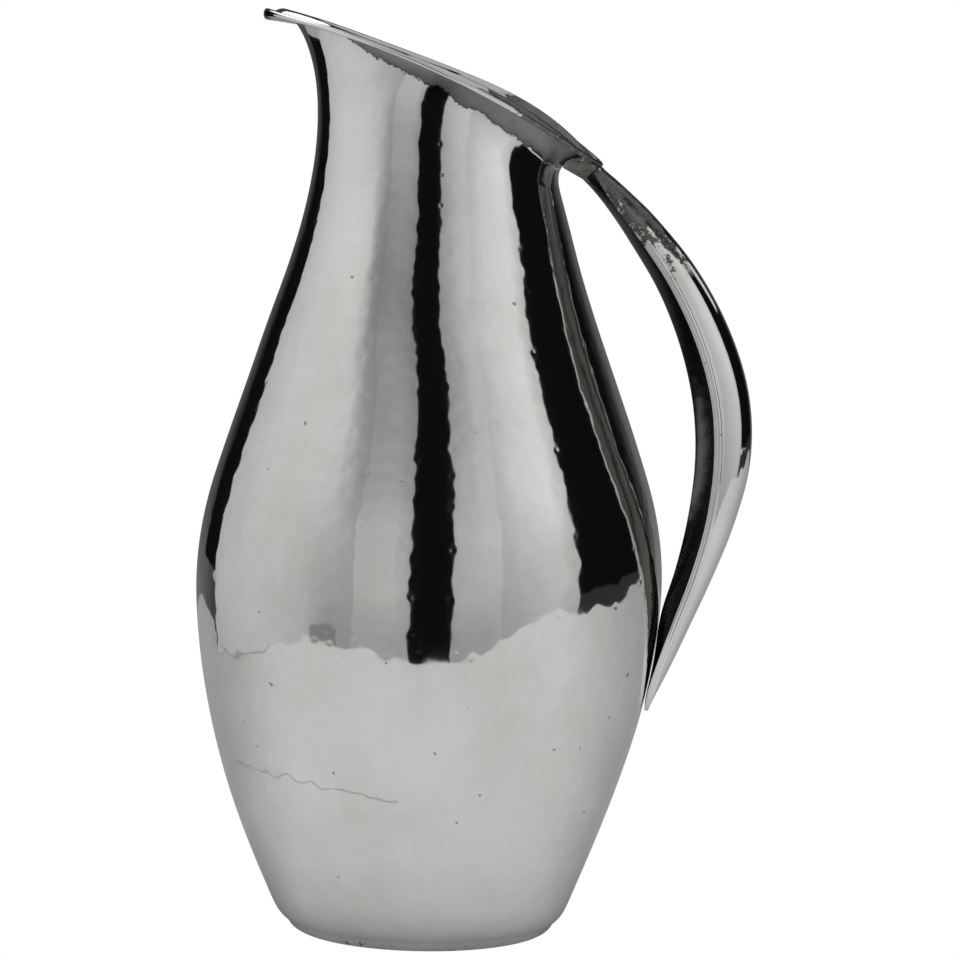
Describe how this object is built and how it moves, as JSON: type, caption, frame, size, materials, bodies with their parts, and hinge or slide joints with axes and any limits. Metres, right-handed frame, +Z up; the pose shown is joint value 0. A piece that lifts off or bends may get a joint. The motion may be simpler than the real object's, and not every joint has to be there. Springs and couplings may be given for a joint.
{
  "type": "water pitcher",
  "caption": "Hand-raised silver water pitcher with a full belly, narrow neck, sloping mouth drawn out into a pouring spout, and a hollow handle.",
  "frame": {"origin": "centre of the resting plane under the foot, on the axis of the body", "axes": "+Z up, -X towards the spout, +X towards the handle, Y across; the left and right halves mirror across Y = 0"},
  "size_m": [0.135, 0.114, 0.2246],
  "materials": {
    "body_silver": "polished silver with fine planishing marks",
    "wire_silver": "polished silver wire",
    "handle_silver": "polished silver, darker in the grooves beside the wires",
    "base_silver": "satin silver, scratched from standing"
  },
  "bodies": {
    "root": {"body_shell": "body_silver", "bottom_plate": "base_silver", "mouth_wire": "wire_silver", "handle_outer_shell": "handle_silver", "handle_inner_shell": "handle_silver", "handle_seam_wire_near": "wire_silver", "handle_seam_wire_far": "wire_silver", "handle_saddle": "handle_silver"}
  },
  "joints": []
}
